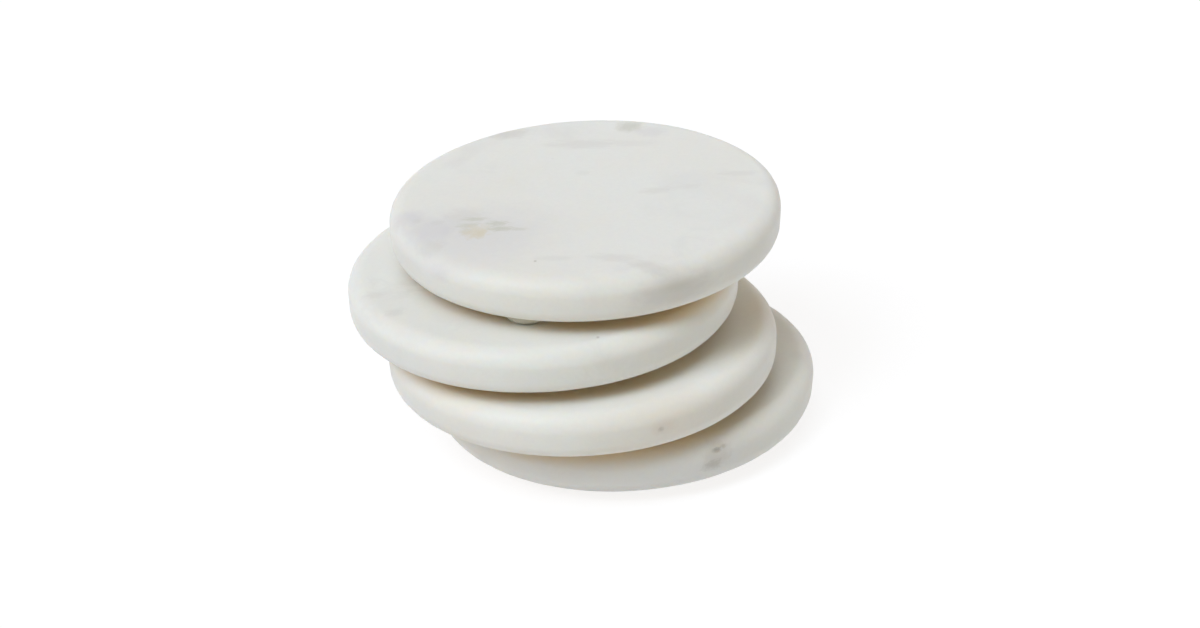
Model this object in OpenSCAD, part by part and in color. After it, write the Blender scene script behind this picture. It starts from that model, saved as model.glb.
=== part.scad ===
// Four round marble coasters, left in a loose pile.
// Each one is a polished stone disc with soft rims, and it stands on clear
// stick-on feet. The feet of one coaster rest on the flat top of the next.
// Origin: on the table, under the middle of the pile's outline. +Z is up.
// The pile is seen from its front along +Y. Lengths are in millimetres.

/* [Stone disc] */
// Diameter of a coaster
coaster_d = 100; // [80:1:120]
// Thickness of the stone
coaster_t = 12; // [9:0.5:16]
// Rounding of the upper rim
top_edge_r = 4.5; // [1:0.25:4.5]
// Rounding of the lower rim
bottom_edge_r = 4; // [1:0.25:4.25]

/* [Clear feet] */
// Number of feet under each coaster
feet_n = 4; // [3:1:5]
// Diameter of a foot
foot_d = 12.7; // [8:0.1:14]
// Height of a foot below its adhesive
foot_h = 3.15; // [2.5:0.05:4]
// Upright side of a foot, above the rounding that leads down to its flat tip
foot_side_h = 0.25; // [0.1:0.05:1]
// Stone left bare between a foot and the start of the rounded rim
foot_margin = 4; // [0:0.5:10]
// The same under the top coaster, whose feet are stuck further out
top_foot_margin = 0.5; // [0:0.5:10]
// Thickness of the adhesive that holds a foot
adhesive_t = 0.15; // [0.1:0.05:0.5]
// How far the adhesive stays inside the foot's side
adhesive_inset = 0.25; // [0:0.05:1]

/* [Pile] */
// Lower coaster, to the right of the bottom one
lower_x = -10.2; // [-20:0.1:20]
// Lower coaster, behind the bottom one
lower_y = -7.1; // [-20:0.1:20]
// Upper coaster, to the right of the bottom one
upper_x = -19.2; // [-20:0.1:20]
// Upper coaster, behind the bottom one
upper_y = -1.9; // [-20:0.1:20]
// Top coaster, to the right of the bottom one
top_x = -7.6; // [-20:0.1:20]
// Top coaster, behind the bottom one
top_y = 3.9; // [-20:0.1:20]
// Direction of the bottom coaster's first foot
bottom_turn = -136; // [-180:1:180]
// Direction of the lower coaster's first foot
lower_turn = -139; // [-180:1:180]
// Direction of the upper coaster's first foot
upper_turn = -138; // [-180:1:180]
// Direction of the top coaster's first foot
top_turn = -112.5; // [-180:0.5:180]

/* [Hidden] */
$fn = 96;

// The coasters from the table up, each with its place in the pile and its turn
COASTERS = ["bottom", "lower", "upper", "top"];
places = [[0, 0], [lower_x, lower_y], [upper_x, upper_y], [top_x, top_y]];
turns = [bottom_turn, lower_turn, upper_turn, top_turn];

coaster_r = coaster_d / 2;
foot_r = foot_d / 2;
foot_edge_r = foot_h - foot_side_h;
adhesive_r = foot_r - adhesive_inset;

// Gap under a stone, and the rise from one coaster to the next
stand_h = foot_h + adhesive_t;
pile_step = stand_h + coaster_t;

// Each coaster's feet stand on a ring inside the edge of its flat underside
foot_margins = [foot_margin, foot_margin, foot_margin, top_foot_margin];
function foot_ring_r(c) = coaster_r - bottom_edge_r - foot_margins[c] - foot_r;

// The middle of the pile's outline, seen from above
places_x = [for (p = places) p[0]];
places_y = [for (p = places) p[1]];
pile_middle = [(min(places_x) + max(places_x)) / 2, (min(places_y) + max(places_y)) / 2];

function stone_name(c) = str(COASTERS[c], "_stone");
function foot_name(c, n) = str(COASTERS[c], "_foot_", n);
function adhesive_name(c, n) = str(COASTERS[c], "_adhesive_", n);

// Carries its children to a coaster's place, with the table or the stone below it at z = 0
module at_coaster(c) {
    translate([places[c][0] - pile_middle[0], places[c][1] - pile_middle[1], c * pile_step])
        children();
}

// Carries its children to the spot of one foot of a coaster
module at_foot(c, n) {
    at_coaster(c)
        rotate([0, 0, turns[c] + (n - 1) * 360 / feet_n])
            translate([foot_ring_r(c), 0, 0])
                children();
}

// Quarter disc that rounds an outer corner, with its centre at the origin
module corner_round(r) {
    intersection() {
        circle(r = r);
        square(r);
    }
}

// Half section of the stone: flat top and underside, and a quarter round at each rim
module stone_section() {
    square([coaster_r - top_edge_r, coaster_t]);
    square([coaster_r - bottom_edge_r, coaster_t - top_edge_r]);
    translate([0, bottom_edge_r])
        square([coaster_r, coaster_t - top_edge_r - bottom_edge_r]);
    translate([coaster_r - top_edge_r, coaster_t - top_edge_r])
        corner_round(top_edge_r);
    translate([coaster_r - bottom_edge_r, bottom_edge_r])
        mirror([0, 1])
            corner_round(bottom_edge_r);
}

module stone() {
    color([0.87, 0.87, 0.85])
        translate([0, 0, stand_h])
            rotate_extrude()
                stone_section();
}

// Half section of a foot: it stands on a flat tip, and its side rises to the adhesive
module foot_section() {
    square([foot_r - foot_edge_r, foot_h]);
    translate([0, foot_edge_r])
        square([foot_r, foot_h - foot_edge_r]);
    translate([foot_r - foot_edge_r, foot_edge_r])
        mirror([0, 1])
            corner_round(foot_edge_r);
}

module foot() {
    color([0.8, 0.84, 0.8, 0.6])
        rotate_extrude()
            foot_section();
}

module adhesive() {
    color([0.9, 0.9, 0.85, 0.6])
        translate([0, 0, foot_h])
            cylinder(r = adhesive_r, h = adhesive_t);
}

for (c = [0 : len(COASTERS) - 1]) {
    at_coaster(c) stone();
    for (n = [1 : feet_n]) {
        at_foot(c, n) foot();
        at_foot(c, n) adhesive();
    }
}
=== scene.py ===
# %% [markdown]
# Four marble coasters
#
# This lesson dresses a pile of four round marble coasters. Each one is a 100 mm
# disc of white stone with softly rounded rims, on four clear stick-on feet. The
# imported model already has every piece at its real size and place, so the lesson
# only has to give the stones their hand-finished shape, and every surface its
# look. Lengths are in metres, and Z is up.

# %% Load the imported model
from math import cos, hypot, radians, sin

import bmesh
import bpy
from mathutils import Matrix, Vector, noise


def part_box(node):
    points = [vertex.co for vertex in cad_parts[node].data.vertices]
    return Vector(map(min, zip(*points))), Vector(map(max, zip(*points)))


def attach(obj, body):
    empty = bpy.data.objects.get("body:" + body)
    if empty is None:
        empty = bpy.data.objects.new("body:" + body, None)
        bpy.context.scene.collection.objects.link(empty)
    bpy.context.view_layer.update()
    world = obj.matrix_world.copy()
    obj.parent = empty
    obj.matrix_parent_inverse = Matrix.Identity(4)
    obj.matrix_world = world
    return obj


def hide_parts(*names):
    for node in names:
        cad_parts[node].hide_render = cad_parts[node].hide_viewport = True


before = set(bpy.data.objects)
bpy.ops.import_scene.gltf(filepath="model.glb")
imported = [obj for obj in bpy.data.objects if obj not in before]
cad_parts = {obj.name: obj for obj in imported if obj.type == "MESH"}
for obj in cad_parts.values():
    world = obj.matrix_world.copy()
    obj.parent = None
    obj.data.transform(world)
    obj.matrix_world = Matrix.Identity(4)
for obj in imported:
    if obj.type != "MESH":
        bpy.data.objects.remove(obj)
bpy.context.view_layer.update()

MM = 0.001
COASTERS = ["bottom", "lower", "upper", "top"]
scene = bpy.context.scene
scene.view_settings.view_transform = "Standard"

# %% [markdown]
# The camera
#
# The pile was photographed from 28 degrees above the table with a longish lens,
# held a little out of level. A camera can be moved by hand until the outlines
# agree. Here it's built from the point it looks at, its distance, its height
# angle, its roll and its lens, because those are the numbers that a photographer
# would note down.

# %% Aim the camera
AIM = Vector((4.4, 48.1, 3.3)) * MM
DISTANCE = 623 * MM
ELEVATION = radians(28.1)
ROLL = radians(-3.07)
LENS_MM = 65.9
FILM_WIDTH_MM = 36
NEAREST_SEEN = 10 * MM

look = Vector((0, cos(ELEVATION), -sin(ELEVATION)))
level_up = Vector((0, sin(ELEVATION), cos(ELEVATION)))
level_right = Vector((1, 0, 0))
right = level_right * cos(ROLL) + level_up * sin(ROLL)
up = level_up * cos(ROLL) - level_right * sin(ROLL)

camera = bpy.data.objects.new("camera", bpy.data.cameras.new("camera"))
scene.collection.objects.link(camera)
camera.data.lens = LENS_MM
camera.data.sensor_width = FILM_WIDTH_MM
camera.data.clip_start = NEAREST_SEEN
turn = Matrix((right, up, -look)).transposed().to_4x4()
camera.matrix_world = Matrix.Translation(AIM - look * DISTANCE) @ turn
scene.camera = camera
print("camera at", [round(x, 3) for x in camera.location])

# %% [markdown]
# The stone discs
#
# A coaster is sawn from a slab, its rims are rounded on a wheel, and its faces
# are honed flat. A disc could be spun from a half section, or bevelled from a
# plain drum. The drum is chosen, because bevelling its two rims is what the
# wheel does to the stone.

# %% Turn and round a drum
TOP_ROUND = 4.5 * MM
BOTTOM_ROUND = 4 * MM
POINTS_ROUND = 256
BEVEL_STEPS = 14

# Points whose heights differ by less than this are on one level
SAME_LEVEL = 1e-6


def drum(radius, low, high):
    """A bmesh of an upright drum about the Z axis, with both of its rims rounded."""
    bm = bmesh.new()
    bmesh.ops.create_cone(bm, cap_ends=True, segments=POINTS_ROUND, radius1=radius, radius2=radius,
                          depth=high - low)
    bmesh.ops.translate(bm, verts=bm.verts, vec=(0, 0, (high + low) / 2))
    for level, size in ((high, TOP_ROUND), (low, BOTTOM_ROUND)):
        rim = [e for e in bm.edges if all(abs(v.co.z - level) < SAME_LEVEL for v in e.verts)]
        bmesh.ops.bevel(bm, geom=rim, offset=size, offset_type="OFFSET", segments=BEVEL_STEPS,
                        profile=0.5, affect="EDGES", material=-1, clamp_overlap=True)
    return bm


print("rims rounded by", TOP_ROUND, "m above and", BOTTOM_ROUND, "m below")

# %% [markdown]
# Tidy faces
#
# A face of the real stone is one flat round. Here it is a single face with 256
# sides, which is drawn as long thin triangles, and no pit can be sunk into it. It
# could be filled with a square grid, but a grid wouldn't follow the rim. Rings
# that are inset one inside the other do, and the last one closes on a centre.

# %% Divide the flat faces
FACE_RINGS = 19
FACE_RING_WIDTH = 2.2 * MM


def divide_faces(bm):
    """Divides the two many-sided flat faces into rings round a centre, so that they stay tidy."""
    flat = [f for f in bm.faces if len(f.verts) == POINTS_ROUND]
    for _ in range(FACE_RINGS):
        bmesh.ops.inset_individual(bm, faces=flat, thickness=FACE_RING_WIDTH, depth=0)
    bmesh.ops.poke(bm, faces=flat)


print("a flat face gets", FACE_RINGS, "rings")

# %% [markdown]
# The hand of the maker
#
# The wheel is held by hand, so a rim ends a little uneven, and the side leans in
# toward the underside. A bump in the material could show that, but not on the
# outline or in the line of light along a rim. So the points themselves are
# moved, by a fraction of a millimetre.

# %% Wear the rims
# How deep the wear goes, and the outer share of the radius that it reaches
RIM_WEAR = 0.24 * MM
WORN_SHARE = 0.15

# The wear is a steady part with long swells and short ripples on it. A larger scale means
# shorter waves, and the noise is stretched a little along the height.
STEADY_WEAR = 0.25
SWELL_WEAR = 0.8
SWELL_SCALE = 2.3
RIPPLE_WEAR = 0.4
RIPPLE_SCALE = 9
HEIGHT_SCALE = 1.5

# The side leans in between two depths below the top face, on some stones more than on others
LEAN = {"top": 0.25 * MM, "upper": 0.15 * MM, "lower": 0.2 * MM, "bottom": 0.45 * MM}
LEAN_START = 5 * MM
LEAN_END = 9.5 * MM


def wear_rim(bm, radius, top, lean, seed):
    """Leans the side in, and grinds flats into the rim a fraction of a millimetre deep."""
    for v in bm.verts:
        r = hypot(v.co.x, v.co.y)
        depth = min(1, max(0, (r / radius - (1 - WORN_SHARE)) / WORN_SHARE))
        if depth:
            around = Vector((v.co.x, v.co.y, v.co.z * HEIGHT_SCALE)) / r
            swell = noise.noise(around * SWELL_SCALE + Vector((seed, 0, 0)))
            ripple = noise.noise(around * RIPPLE_SCALE + Vector((0, seed, 0)))
            wear = max(0, STEADY_WEAR + SWELL_WEAR * swell + RIPPLE_WEAR * ripple)
            below = (top - v.co.z - LEAN_START) / (LEAN_END - LEAN_START)
            cut = depth * (lean * min(1, max(0, below)) + RIM_WEAR * wear)
            v.co.x *= 1 - cut / r
            v.co.y *= 1 - cut / r


print("sides lean in by", LEAN)

# %% [markdown]
# Pits
#
# Here and there a crystal breaks out as the stone is polished, and leaves a pit
# less than a millimetre wide. A dark dot in the material could stand for it, but
# light catches the edge of a real hollow. So the faces round the spot are divided
# finely, and their points sink into a smooth dent.

# %% Leave the pits that polishing opens
# How far round a pit the faces are divided, and how deep it sinks, both in its own widths
PIT_REACH = 2.6
PIT_DEPTH = 0.3
PIT_CUTS = 4


def add_pit(bm, centre, width, depth):
    """Divides the faces round centre finely, and lets them sink into a smooth dent."""
    near = [f for f in bm.faces if (f.calc_center_median() - centre).length < PIT_REACH * width]
    edges = list({e for f in near for e in f.edges})
    bmesh.ops.subdivide_edges(bm, edges=edges, cuts=PIT_CUTS, use_grid_fill=True)
    bm.normal_update()
    for v in bm.verts:
        share = (v.co - centre).length / width
        if share < 1:
            v.co -= v.normal * depth * (1 - share * share) ** 2


print("a pit is", PIT_DEPTH, "of its width deep")

# %% [markdown]
# From mesh to object
#
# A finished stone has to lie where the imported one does, and go up with its own
# coaster. Its object could be moved into place, but then a pattern on Object
# coordinates would slide when the model is exported. So the object stays at the
# origin, and its place goes into the points of its mesh.

# %% Finish a stone
# Room that a top face leaves for the feet that stand on it, so that rounding never lets them cross
CONTACT_ROOM = 0.002 * MM


def finish_piece(bm, name, place, material, body):
    """Makes a bmesh an object at the origin, with its place in its mesh, and sets what it rides on."""
    bmesh.ops.translate(bm, verts=bm.verts, vec=place)
    mesh = bpy.data.meshes.new(name)
    bm.to_mesh(mesh)
    bm.free()
    mesh.shade_smooth()
    piece = bpy.data.objects.new(name, mesh)
    scene.collection.objects.link(piece)
    mesh.materials.append(material)
    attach(piece, body)
    return piece


def stone_disc(coaster, seed, material, pits):
    """Makes the stone of one coaster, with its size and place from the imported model."""
    node = coaster + "_stone"
    low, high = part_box(node)
    radius = (high.x - low.x) / 2
    bm = drum(radius, low.z, high.z - CONTACT_ROOM)
    divide_faces(bm)
    wear_rim(bm, radius, high.z, LEAN[coaster], seed)
    for x, y, z, width in pits:
        add_pit(bm, Vector((x * MM, y * MM, high.z + z * MM)), width * MM, PIT_DEPTH * width * MM)
    middle = (low + high) / 2
    piece = finish_piece(bm, coaster + "_marble_disc", (middle.x, middle.y, 0), material,
                         coaster + "_coaster")
    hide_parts(node)
    print(piece.name, len(piece.data.vertices), "points")


print("a top face stays", CONTACT_ROOM, "m below the feet on it")

# %% [markdown]
# The marble
#
# White marble is a mass of small calcite crystals. Light goes a few millimetres
# in before it comes out, so shadows on it have soft edges. Its look comes from
# several layers: broad soft clouds, a few broken grey veins, the crystals, and
# the chance marks that tell one coaster from another. A picture of marble could
# be wrapped round the disc, but it would show a seam. So all layers are made by
# nodes that read the Object coordinates, and a pattern runs through the stone and
# over its rim as it would in a slab. First come a few helpers for the nodes.

# %% Start a material
def new_material(name):
    """A material with one Principled shader, and that shader."""
    material = bpy.data.materials.new(name)
    material.use_nodes = True
    nodes = material.node_tree.nodes
    nodes.clear()
    shader = nodes.new("ShaderNodeBsdfPrincipled")
    out = nodes.new("ShaderNodeOutputMaterial")
    material.node_tree.links.new(shader.outputs[0], out.inputs[0])
    return material, shader


print("each stone and plastic starts from one Principled shader")

# %% Nodes that give numbers
# Noise runs from 0 to 1, and lies about this value on average
NOISE_MIDDLE = 0.5


def join(tree, socket, value):
    """Links a socket to another, or sets it where value is a plain one."""
    if isinstance(value, bpy.types.NodeSocket):
        tree.links.new(value, socket)
    else:
        socket.default_value = value


def math_node(tree, operation, a, b=0.0, c=0.0):
    """The outcome of one step of arithmetic on sockets or plain numbers."""
    node = tree.nodes.new("ShaderNodeMath")
    node.operation = operation
    for socket, value in zip(node.inputs, (a, b, c)):
        join(tree, socket, value)
    return node.outputs[0]


def remap(tree, value, low, high, out_low=0.0, out_high=1.0):
    """A smooth step from out_low to out_high, while value goes from low to high."""
    node = tree.nodes.new("ShaderNodeMapRange")
    node.interpolation_type = "SMOOTHSTEP"
    for socket, x in zip(node.inputs, (value, low, high, out_low, out_high)):
        join(tree, socket, x)
    return node.outputs[0]


def noise_node(tree, where, size, detail=3.0, roughness=0.55, distortion=0.0):
    """Soft noise whose features are about as large as size, in the units of where."""
    node = tree.nodes.new("ShaderNodeTexNoise")
    for name, x in (("Vector", where), ("Scale", 1 / size), ("Detail", detail),
                    ("Roughness", roughness), ("Distortion", distortion)):
        join(tree, node.inputs[name], x)
    return node.outputs["Fac"]


print("noise lies about", NOISE_MIDDLE)

# %% Nodes and numbers that give colours
def blend_colour(tree, amount, a, b):
    """Colour a where amount is 0, colour b where it is 1, and a mixture between."""
    node = tree.nodes.new("ShaderNodeMix")
    node.data_type = "RGBA"
    join(tree, node.inputs["Factor"], amount)
    join(tree, node.inputs["A"], a)
    join(tree, node.inputs["B"], b)
    return node.outputs["Result"]


def paint(red, green, blue):
    """A colour written as 0 to 255, as a colour picker shows it, in the linear values of a shader."""
    parts = [x / 255 for x in (red, green, blue)]
    return [x / 12.92 if x < 0.04045 else ((x + 0.055) / 1.055) ** 2.4 for x in parts] + [1.0]


print("a middle grey of 128 is", round(paint(128, 128, 128)[0], 3), "to a shader")

# %% [markdown]
# One slab, four places
#
# Stones that are sawn from one slab share its pattern, and none repeats another.
# Each could have a noise of its own. Here all four read the same noise, but each
# at another place and angle, as the saw does. The chance marks belong to one
# stone each, so they read plain millimetres from the middle of its top face.

# %% Where a pattern lies
# From stone to stone: the shift in millimetres and the turn in radians. The tilt is the same.
SLAB_STEP = (37.0, 11.0, 23.0)
SLAB_TURN = 1.9
SLAB_TILT = (0.3, 0.2)


def millimetres_from_top(tree, low, high):
    """Object coordinates, in millimetres from the middle of the top face of a stone's box."""
    middle = (low + high) / 2
    place = tree.nodes.new("ShaderNodeTexCoord")
    to_mm = tree.nodes.new("ShaderNodeMapping")
    join(tree, to_mm.inputs["Vector"], place.outputs["Object"])
    to_mm.inputs["Scale"].default_value = (1 / MM,) * 3
    to_mm.inputs["Location"].default_value = Vector((-middle.x, -middle.y, -high.z)) / MM
    return to_mm.outputs[0]


def place_in_slab(tree, where, seed):
    """The same place, as the slab had it before the stone was cut out."""
    slab = tree.nodes.new("ShaderNodeMapping")
    join(tree, slab.inputs["Vector"], where)
    slab.inputs["Location"].default_value = [seed * step for step in SLAB_STEP]
    slab.inputs["Rotation"].default_value = (*SLAB_TILT, seed * SLAB_TURN)
    return slab.outputs[0]


print("from stone to stone the slab is shifted by", SLAB_STEP, "mm")

# %% [markdown]
# Clouds and veins
#
# The white has broad clouds in it that are a little warmer or greyer, and a few
# thin grey veins. A vein could be a wave or a drawn curve. Here it is the line
# along which a soft noise crosses its middle value, because such a line wanders
# as a crack does. A second noise breaks it up, because real veins fade out.

# %% Mix clouds and veins
WHITE = paint(230, 230, 222)
WARM_WHITE = paint(229, 225, 213)
GREY_CLOUD = paint(209, 206, 202)
VEIN = paint(189, 188, 180)

# Sizes of the patterns, in millimetres
TONE_SIZE = 38
CLOUD_SIZE = 30
VEIN_SIZE = 26
VEIN_BREAK_SIZE = 22

# How strongly the clouds and the veins show, and how far from its line a vein still shows
CLOUD_STRENGTH = 0.35
VEIN_STRENGTH = 0.12
VEIN_SPREAD = 0.09


def cloud_and_vein(tree, in_slab, warmth):
    """White stone with warmer and greyer clouds, and thin veins that fade in and out."""
    tone = noise_node(tree, in_slab, TONE_SIZE, detail=2)
    warm = remap(tree, tone, low=0.35, high=0.7, out_low=0, out_high=warmth)
    colour = blend_colour(tree, warm, WHITE, WARM_WHITE)
    cloud = noise_node(tree, in_slab, CLOUD_SIZE, detail=5, roughness=0.5, distortion=0.6)
    grey = remap(tree, cloud, low=0.55, high=0.85, out_low=0, out_high=CLOUD_STRENGTH)
    colour = blend_colour(tree, grey, colour, GREY_CLOUD)

    run = noise_node(tree, in_slab, VEIN_SIZE, detail=4, roughness=0.6, distortion=1.2)
    from_line = math_node(tree, "ABSOLUTE", math_node(tree, "SUBTRACT", run, NOISE_MIDDLE))
    line = remap(tree, from_line, low=VEIN_SPREAD, high=0.0)
    breaks = noise_node(tree, in_slab, VEIN_BREAK_SIZE, detail=2)
    broken = remap(tree, breaks, low=0.56, high=0.72)
    whole = math_node(tree, "MULTIPLY", line, broken)
    vein = math_node(tree, "MULTIPLY", whole, VEIN_STRENGTH)
    return blend_colour(tree, vein, colour, VEIN)


print("white stone is", [round(x, 2) for x in WHITE[:3]])

# %% [markdown]
# Chance marks
#
# Each real stone has smoky or ochre patches of its own, and a dark speck or two.
# They could be painted on, but paint stays on the face. Here each mark is an
# ellipsoid inside the stone, whose edge is torn by noise, so a mark at the rim
# goes round it. The same ellipsoids also paint shade onto the sides of the top and
# the bottom stone. First comes one mark, and then the table of them all.

# %% Make one chance mark or patch of painted shade
# Length of the tears in a mark's edge, and the core in which it is at full strength, both as a
# share of its half size
TORN_SIZE = 0.45
CORE_SIZE = 0.25


def mark(tree, where, colour_below, centre, half_size, turn, tone, strength, ragged):
    """One chance mark or patch of painted shade: an ellipsoid with torn edges. Millimetres, and turn
    in degrees about Z.
    """
    shift = tree.nodes.new("ShaderNodeMapping")
    shift.vector_type = "TEXTURE"
    join(tree, shift.inputs["Vector"], where)
    shift.inputs["Location"].default_value = centre
    shift.inputs["Rotation"].default_value = (0, 0, radians(turn))
    shift.inputs["Scale"].default_value = half_size
    length = tree.nodes.new("ShaderNodeVectorMath")
    length.operation = "LENGTH"
    join(tree, length.inputs[0], shift.outputs[0])
    torn = noise_node(tree, shift.outputs[0], TORN_SIZE, detail=4, roughness=0.65)
    edge = math_node(tree, "MULTIPLY_ADD", torn, ragged, -NOISE_MIDDLE * ragged)
    reach = math_node(tree, "ADD", length.outputs["Value"], edge)
    amount = remap(tree, reach, low=1.0, high=CORE_SIZE, out_low=0.0, out_high=strength)
    return blend_colour(tree, amount, colour_below, tone)


print("a mark is at full strength inside", CORE_SIZE, "of its half size")

# %% [markdown]
# Crystals and polish
#
# Close up, honed marble glitters a little, because each crystal takes the polish
# in its own way. The crystals could be modelled as facets, but they are less than
# a millimetre wide. So Voronoi cells give each one a tint, a shine and a height
# by chance. The polish as a whole also changes slowly over the stone, and the
# faces are not quite flat, which shows where they mirror the window.

# %% Grow the crystals
# Width of a crystal, in millimetres
CRYSTAL_SIZE = 0.9


def crystals(tree, where):
    """Three chance numbers for each crystal of the stone, all from 0 to 1."""
    cells = tree.nodes.new("ShaderNodeTexVoronoi")
    join(tree, cells.inputs["Vector"], where)
    cells.inputs["Scale"].default_value = 1 / CRYSTAL_SIZE
    parts = tree.nodes.new("ShaderNodeSeparateColor")
    join(tree, parts.inputs[0], cells.outputs["Color"])
    return parts.outputs[0], parts.outputs[1], parts.outputs[2]


print("a crystal is about", CRYSTAL_SIZE, "mm wide")

# %% Polish the stone
# Sizes of the patterns, in millimetres
POLISH_SIZE = 12
DENT_SIZE = 7

# The polish varies between two roughnesses, and a little more from one crystal to the next
SMOOTHEST = 0.36
ROUGHEST = 0.46
CRYSTAL_ROUGHNESS = 0.08

# Depth of the dents, how strongly they show, and the share of their depth that the crystals add
DENT_DEPTH = 0.05 * MM
DENT_STRENGTH = 0.25
CRYSTAL_RELIEF = 0.04

STONE_SETTINGS = {
    "IOR": 1.5,
    "Specular IOR Level": 0.14,
    "Subsurface Weight": 1.0,
    "Subsurface Radius": (1.0, 0.8, 0.62),
    "Subsurface Scale": 2.4 * MM,
}


def polish_stone(tree, shader, in_slab, gloss_grain, relief_grain):
    """Sets the shine, the depth that light goes into the stone, and its faint dents."""
    polish = noise_node(tree, in_slab, POLISH_SIZE, detail=3)
    broad = remap(tree, polish, low=0.3, high=0.7, out_low=SMOOTHEST, out_high=ROUGHEST)
    facets = math_node(tree, "MULTIPLY_ADD", gloss_grain, CRYSTAL_ROUGHNESS, -CRYSTAL_ROUGHNESS / 2)
    join(tree, shader.inputs["Roughness"], math_node(tree, "ADD", broad, facets))
    for name, value in STONE_SETTINGS.items():
        shader.inputs[name].default_value = value

    dents = noise_node(tree, in_slab, DENT_SIZE, detail=2)
    bump = tree.nodes.new("ShaderNodeBump")
    bump.inputs["Strength"].default_value = DENT_STRENGTH
    bump.inputs["Distance"].default_value = DENT_DEPTH
    join(tree, bump.inputs["Height"],
         math_node(tree, "MULTIPLY_ADD", relief_grain, CRYSTAL_RELIEF, dents))
    join(tree, shader.inputs["Normal"], bump.outputs[0])


print("the roughness goes from", SMOOTHEST, "to", ROUGHEST)

# %% [markdown]
# The layers together
#
# The underside of a stone is painted a strong amber. This is painted warm shade:
# light that bounces off it into the gaps between the stones turns amber, and
# stands in for the glow that real marble carries into its shadows. It could be a
# material of its own, but then the line between the two would be sharp. So it is
# one more layer, over the slab and the marks. The tint of the crystals goes on
# last, since all the rest is made up of them.

# %% Put the layers together
# Painted warm shade: the amber on the underside that warms the light in the gaps
PAINTED_GAP_WARMTH = paint(238, 200, 136)
CRYSTAL_STRENGTH = 0.06

# The painted warm tint starts and is full at these heights above the underside, in millimetres
PAINTED_WARMTH_START = 0.3
PAINTED_WARMTH_FULL = 0.05


def marble(coaster, seed, warmth, marks_and_shade):
    """The stone of one coaster. Its patterns are in millimetres from the middle of its top face."""
    material, shader = new_material(coaster + "_marble")
    tree = material.node_tree
    low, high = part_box(coaster + "_stone")
    where = millimetres_from_top(tree, low, high)
    in_slab = place_in_slab(tree, where, seed)
    colour = cloud_and_vein(tree, in_slab, warmth)
    for one in marks_and_shade:
        colour = mark(tree, where, colour, *one)

    underside = (low.z - high.z) / MM
    height = tree.nodes.new("ShaderNodeSeparateXYZ")
    join(tree, height.inputs[0], where)
    # Painted warm shade on the underside, so that the gaps between the stones look amber
    painted_warmth = remap(tree, height.outputs["Z"], low=underside + PAINTED_WARMTH_START, high=underside + PAINTED_WARMTH_FULL)
    colour = blend_colour(tree, painted_warmth, colour, PAINTED_GAP_WARMTH)

    tint_grain, gloss_grain, relief_grain = crystals(tree, where)
    grain = remap(tree, tint_grain, low=0, high=1, out_low=0.0, out_high=CRYSTAL_STRENGTH)
    colour = blend_colour(tree, grain, colour, GREY_CLOUD)
    join(tree, shader.inputs["Base Color"], colour)
    polish_stone(tree, shader, in_slab, gloss_grain, relief_grain)
    print(material.name, "has", len(marks_and_shade), "marks_and_shade")
    return material


print("the sawn look starts", PAINTED_WARMTH_START, "mm above the underside")

# %% [markdown]
# Where the marks are
#
# On the real stones the marks are there by chance. Noise could scatter them, but
# then no stone would look like the one in the photograph. So each is given in a
# table. The top stone has the most, because it shows nearly all of its face.

# %% Name the tones of the marks
LILAC = paint(214, 212, 210)
SMOKE = paint(213, 210, 202)
GREEN_GREY = paint(202, 201, 186)
OCHRE = paint(213, 203, 176)
COOL_WHITE = paint(218, 217, 215)
PINK_GREY = paint(220, 206, 193)
SPECK = paint(153, 149, 135)
print("red goes from", round(SPECK[0], 2), "in a speck to", round(COOL_WHITE[0], 2), "in cool white")
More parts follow.
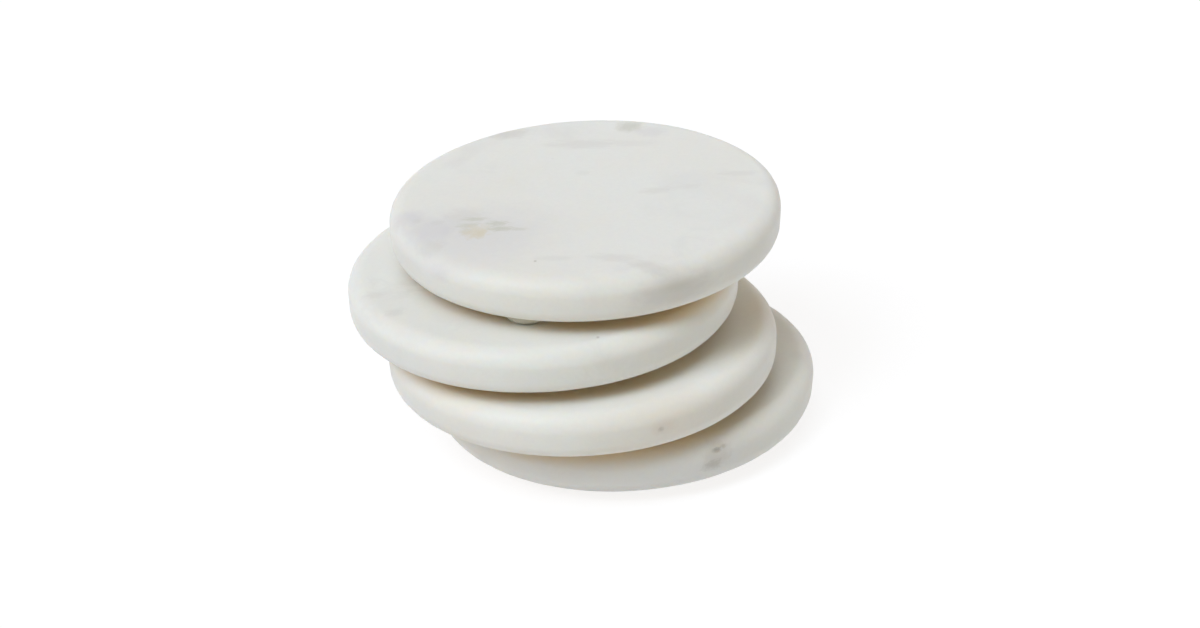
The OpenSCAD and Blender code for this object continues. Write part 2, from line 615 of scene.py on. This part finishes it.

# %% List the chance marks and the patches of painted shade
# Each is its centre and half sizes in millimetres, its turn in degrees, its tone, how strongly it
# shows, and how torn its edge is. The centre is measured from the middle of the stone's top face.
MARKS_AND_PAINTED_SHADE = {
    "top": [
        ((-29, -21.5, 0), (30, 23, 9), 0, LILAC, 0.5, 0.7),
        ((-38, -17, 0), (10, 9, 5), -15, LILAC, 0.6, 1.0),
        ((-44.5, -9.8, 0), (6, 6, 5), 0, LILAC, 0.65, 0.9),
        ((-38, -26.5, 0), (5.5, 5, 4), -10, SMOKE, 0.55, 1.2),
        ((-41.9, -11.5, 0), (1.6, 2, 2), 0, SMOKE, 0.5, 0.9),
        ((-36.7, -13, 0), (2.6, 1.8, 2), 0, SMOKE, 0.45, 1.2),
        ((-34.7, -18.1, 0), (1.8, 3.4, 2), 0, LILAC, 0.5, 1.2),
        ((-30, -9.8, 0), (7, 5.5, 4), -10, SMOKE, 0.45, 1.4),
        ((-27.5, -12.2, 0), (4.4, 1.5, 3), -7, GREEN_GREY, 0.75, 1.8),
        ((-29, -15.5, 0), (4.4, 1.7, 3), 2, GREEN_GREY, 0.65, 1.8),
        ((-21.8, -15.3, 0), (4, 2, 3), -12, GREEN_GREY, 0.8, 1.8),
        ((-21, -18.4, 0), (4.8, 1.8, 3), -7, GREEN_GREY, 0.85, 1.8),
        ((-16.6, -19.2, 0), (3.4, 1.2, 3), -9, GREEN_GREY, 0.5, 1.4),
        ((-29.3, -18.6, 0), (2.6, 2.8, 3), 0, GREEN_GREY, 0.45, 1.4),
        ((-27, -19.4, 0), (4.6, 4.8, 3), -10, OCHRE, 0.55, 2.2),
        ((-26, -20.6, 0), (2.4, 2.8, 3), 0, OCHRE, 0.55, 2.0),
        ((-19.5, 40.4, -0.3), (8, 5, 4), 0, SMOKE, 0.8, 1.0),
        ((13.2, 40.8, -0.3), (5.2, 4.8, 4), 10, GREEN_GREY, 0.75, 0.9),
        ((18.6, 36.5, 0), (6, 4.5, 4), -20, LILAC, 0.45, 0.9),
        ((0.3, 30.7, 0), (14, 4, 4), -7, SMOKE, 0.45, 1.5),
        ((14, 29.5, 0), (9, 2.8, 4), -7, SMOKE, 0.25, 1.2),
        ((0, 12.1, 0), (3, 2.2, 2), -7, SMOKE, 0.25, 0.9),
        ((18.4, -0.9, 0), (6, 2.6, 3), 3, SMOKE, 0.4, 1.4),
        ((27, 0.6, 0), (4.5, 2.2, 3), -7, SMOKE, 0.22, 1.2),
        ((40, 6.8, 0), (7.5, 2.2, 4), -5, SMOKE, 0.4, 1.4),
        ((-7.6, -36.2, 0), (7, 2, 3), -7, SMOKE, 0.32, 1.0),
        ((6.5, -37.6, 0), (8.5, 2.8, 4), -15, SMOKE, 0.42, 1.2),
        ((14.6, -43.2, 0), (7.5, 3.2, 4), -30, SMOKE, 0.62, 1.0),
        ((17.2, -45.9, -1.5), (4.5, 3, 3), -10, COOL_WHITE, 0.2, 0.8),
        ((-36, -35, -3), (5, 4, 3), -40, LILAC, 0.35, 0.9),
        # Painted shade: a darker patch on the front right of the side, which faces away from the
        # window
        ((20.5, -45.5, -6.2), (15, 8, 6), 23, SMOKE, 0.7, 0.9),
        ((21, -45.3, -4.5), (6, 3, 2.5), 23, GREEN_GREY, 0.3, 1.0),
        ((-12.4, -37.2, 0), (0.55, 0.7, 0.6), 0, SPECK, 0.4, 0.4),
    ],
    "upper": [
        ((-41.7, -15, 0), (4.4, 2.4, 4), -7, SMOKE, 0.42, 1.6),
        ((-36.2, -24.8, 0), (3.6, 2.4, 4), 20, SMOKE, 0.45, 1.6),
        ((-39, -20.6, 0), (9, 10, 4), 30, SMOKE, 0.22, 1.8),
        ((13.2, -42.9, 0), (0.55, 0.7, 0.6), 0, SPECK, 0.45, 0.4),
    ],
    "lower": [
        ((19, -46.2, -5.6), (4.5, 4.5, 3), 0, PINK_GREY, 0.3, 0.8),
        ((18.1, -46.6, -6), (1.1, 1, 1), 0, SPECK, 0.28, 0.8),
    ],
    "bottom": [
        # Painted shade: a darker, cooler band along the front of the side, low by the floor
        ((6, -46, -7), (60, 14, 14), 0, COOL_WHITE, 0.42, 0.5),
        ((21.9, -45, -4.4), (5, 5, 4.8), 0, SMOKE, 0.85, 1.1),
        ((21.6, -44.7, -2.8), (1.8, 1.2, 0.9), 20, SPECK, 0.42, 1.2),
        ((23.2, -43.7, -2.4), (1.2, 0.9, 0.7), 20, SPECK, 0.22, 0.9),
        ((20.4, -45.6, -6.6), (3.6, 2.8, 2.1), 20, SPECK, 0.3, 1.5),
    ],
}
print(sum(len(marks_and_shade) for marks_and_shade in MARKS_AND_PAINTED_SHADE.values()), "marks_and_shade")

# %% List the pits
# Each pit is its place and width in millimetres, measured as the marks are
PITS = {
    "top": [(-12.4, -37.2, 0, 0.6), (31, -8, 0, 0.6), (-8, 22, 0, 0.5)],
    "upper": [(13.2, -42.9, 0, 0.8), (-29.5, -41.2, -7, 0.7)],
    "lower": [(18.1, -46.6, -6, 0.9), (44.6, 21.5, -6, 0.8)],
    "bottom": [(21.6, -44.7, -2.8, 0.9), (23.4, -43.6, -2.4, 0.6), (-38, 31.6, -5, 0.7)],
}
print(sum(len(pits) for pits in PITS.values()), "pits")

# %% [markdown]
# The four stones
#
# Now each stone is made and gets its marble. One mesh could be copied four times,
# but no wheel leaves two rims alike. So each stone is made afresh, and its number
# gives it a wear and a place in the slab of its own.

# %% Make the four stones
# How much each stone leans to the warmer white
WARMTH = {"top": 0.35, "upper": 0.4, "lower": 1.0, "bottom": 0.1}

for seed, coaster in enumerate(COASTERS, 1):
    stone = marble(coaster, seed, WARMTH[coaster], MARKS_AND_PAINTED_SHADE[coaster])
    stone_disc(coaster, seed, stone, PITS[coaster])

# %% [markdown]
# The clear feet
#
# Each foot is a soft dome of clear polyurethane on a disc of clear adhesive. It
# could be made as a lens that bends light, but the plastic is cloudy and dusty,
# and the foot is a few pixels high. So it is a milky surface that lets part of
# what is behind it through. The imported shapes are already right, so they stay.

# %% Make the clear plastic
# How dark the dust is beside the clean plastic, how much of it shows, and how much it dulls
DUST_SHADE = 0.8
DUST_STRENGTH = 0.5
DUST_ROUGHNESS = 0.12

PLASTIC_SETTINGS = {
    "IOR": 1.49,
    "Subsurface Weight": 1.0,
    "Subsurface Radius": (1.0, 1.0, 0.9),
    "Subsurface Scale": 3 * MM,
}


def clear_plastic(name, colour, clearness, roughness, haze_size):
    """Milky plastic with some dust. A clearness of 0 lets nothing through."""
    material, shader = new_material(name)
    tree = material.node_tree
    place = tree.nodes.new("ShaderNodeTexCoord")
    haze = noise_node(tree, place.outputs["Object"], haze_size, detail=3)
    dusty = [x * DUST_SHADE for x in colour[:3]] + [1.0]
    dust = remap(tree, haze, low=0.4, high=0.75, out_low=0, out_high=DUST_STRENGTH)
    join(tree, shader.inputs["Base Color"], blend_colour(tree, dust, colour, dusty))
    dulled = roughness + DUST_ROUGHNESS
    join(tree, shader.inputs["Roughness"],
         remap(tree, haze, low=0.3, high=0.7, out_low=roughness, out_high=dulled))
    for socket, value in PLASTIC_SETTINGS.items():
        shader.inputs[socket].default_value = value
    shader.inputs["Alpha"].default_value = 1 - clearness
    return material


FOOT = clear_plastic("clear_foot", paint(245, 240, 219), clearness=0.3, roughness=0.2,
                     haze_size=3 * MM)
ADHESIVE = clear_plastic("clear_adhesive", paint(222, 220, 206), clearness=0.4, roughness=0.3,
                         haze_size=2 * MM)
print(FOOT.name, "and", ADHESIVE.name, "made")

# %% Finish the feet and their adhesive
for name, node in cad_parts.items():
    if "_foot_" in name or "_adhesive_" in name:
        is_foot = "_foot_" in name
        node.data.materials.clear()
        node.data.materials.append(FOOT if is_foot else ADHESIVE)
        node.data.shade_smooth()
        print(name, "is", node.data.materials[0].name)

# %% [markdown]
# The floor
#
# The pile stands on a white table that runs into a white background, with only a
# light shadow. The lamps could be turned up until a white floor clips, but then
# the stones would clip too. So the camera sees a floor that glows by itself, and
# the lamps light a pale one that sends their light up under the stones.

# %% Lay the floor
# The floor reaches this far from the middle, in metres
FLOOR_SIZE = 4
FLOOR_DROP = 0.1 * MM


def add_floor():
    """A wide floor just below the feet."""
    bm = bmesh.new()
    bmesh.ops.create_grid(bm, x_segments=1, y_segments=1, size=FLOOR_SIZE)
    bmesh.ops.translate(bm, verts=bm.verts, vec=(0, 0, -FLOOR_DROP))
    mesh = bpy.data.meshes.new("floor")
    bm.to_mesh(mesh)
    bm.free()
    floor = bpy.data.objects.new("floor", mesh)
    scene.collection.objects.link(floor)
    return floor


floor = add_floor()
print("floor laid", FLOOR_DROP, "m below the feet")

# %% Colour the floor
# How pale the floor is to the lamps. The camera sees a darker floor that glows, so that it is
# nearly white even in the shadow.
TABLE_TONE = 0.86
SHOWN_TONE = 0.2
SHOWN_GLOW = 0.85


def seen_directly(tree):
    """1 for what the camera sees, straight or in a reflection or through the clear feet."""
    path = tree.nodes.new("ShaderNodeLightPath")
    total = math_node(tree, "ADD", path.outputs["Is Camera Ray"], path.outputs["Is Glossy Ray"])
    total = math_node(tree, "ADD", total, path.outputs["Is Transmission Ray"])
    return math_node(tree, "MINIMUM", total, 1.0)


def grey_surface(tree, tone):
    """A dull grey surface. A tone of 1 is white."""
    surface = tree.nodes.new("ShaderNodeBsdfDiffuse")
    surface.inputs["Color"].default_value = (tone, tone, tone, 1)
    return surface.outputs[0]


def floor_material():
    """A pale table to the lamps, and a white one with a light shadow to the camera."""
    material = bpy.data.materials.new("floor")
    material.use_nodes = True
    tree = material.node_tree
    tree.nodes.clear()
    glow = tree.nodes.new("ShaderNodeEmission")
    glow.inputs["Strength"].default_value = SHOWN_GLOW
    both = tree.nodes.new("ShaderNodeAddShader")
    mix = tree.nodes.new("ShaderNodeMixShader")
    out = tree.nodes.new("ShaderNodeOutputMaterial")
    join(tree, both.inputs[0], grey_surface(tree, SHOWN_TONE))
    join(tree, both.inputs[1], glow.outputs[0])
    join(tree, mix.inputs[0], seen_directly(tree))
    join(tree, mix.inputs[1], grey_surface(tree, TABLE_TONE))
    join(tree, mix.inputs[2], both.outputs[0])
    join(tree, out.inputs[0], mix.outputs[0])
    return material


floor.data.materials.append(floor_material())
print("the floor is", TABLE_TONE, "to the lamps, and glows at", SHOWN_GLOW, "to the camera")

# %% [markdown]
# The sky
#
# The rest of the room sends a little warm light back from every side. A picture
# of a room could do that, but one dim warm colour is enough, because the lamps
# give the light its direction. The camera sees white in its place, straight or
# in the polish.

# %% Colour the sky
SKY_STRENGTH = 0.121
WARM = (1.5, 1.0, 0.39)

world = bpy.data.worlds.new("studio")
scene.world = world
world.use_nodes = True
sky = world.node_tree.nodes["Background"]
dim_sky = [x * SKY_STRENGTH for x in WARM] + [1.0]
white_sky = (1, 1, 1, 1)
join(world.node_tree, sky.inputs["Color"],
     blend_colour(world.node_tree, seen_directly(world.node_tree), dim_sky, white_sky))
print("the sky gives", [round(x, 2) for x in dim_sky[:3]])

# %% [markdown]
# The lamps
#
# The photograph is lit by a tall soft window at the left, with pale walls and
# cards all round. Area lamps could copy that, but they light a floor unevenly. So
# each part of the window and of the room is a very wide sun here.

# %% Place the lamps
PALE = (0.90, 1.0, 1.07)
COOL = (0.91, 1.0, 1.22)

# Where each lamp's light comes from, in degrees round from the front and up from the table, then
# the lamp's width in degrees, its strength and its tint
LAMPS = {
    "window_high": (330, 62, 26, 0.58, PALE),
    "window_left": (305, 55, 24, 0.69, COOL),
    "window_low": (315, 42, 22, 0.54, PALE),
    "window_side": (292, 36, 22, 0.55, COOL),
    "ceiling": (0, 85, 30, 0.28, COOL),
    "back_wall": (180, 30, 50, 0.22, PALE),
    "back_right": (135, 23, 40, 0.45, COOL),
    "right_card": (90, 12, 30, 0.19, PALE),
    "front_card": (45, 12, 30, 0.355, PALE),
}


def add_sun(name, azimuth, elevation, width, strength, tint):
    """A soft lamp, so far away that its light is even all over the floor."""
    lamp = bpy.data.lights.new(name, "SUN")
    lamp.energy = strength
    lamp.angle = radians(width)
    lamp.color = tint
    holder = bpy.data.objects.new(name, lamp)
    scene.collection.objects.link(holder)
    level = cos(radians(elevation))
    towards = Vector((sin(radians(azimuth)) * level, -cos(radians(azimuth)) * level,
                      sin(radians(elevation))))
    holder.rotation_euler = towards.to_track_quat("Z", "Y").to_euler()


for name, settings in LAMPS.items():
    add_sun(name, *settings)
print(len(LAMPS), "lamps")
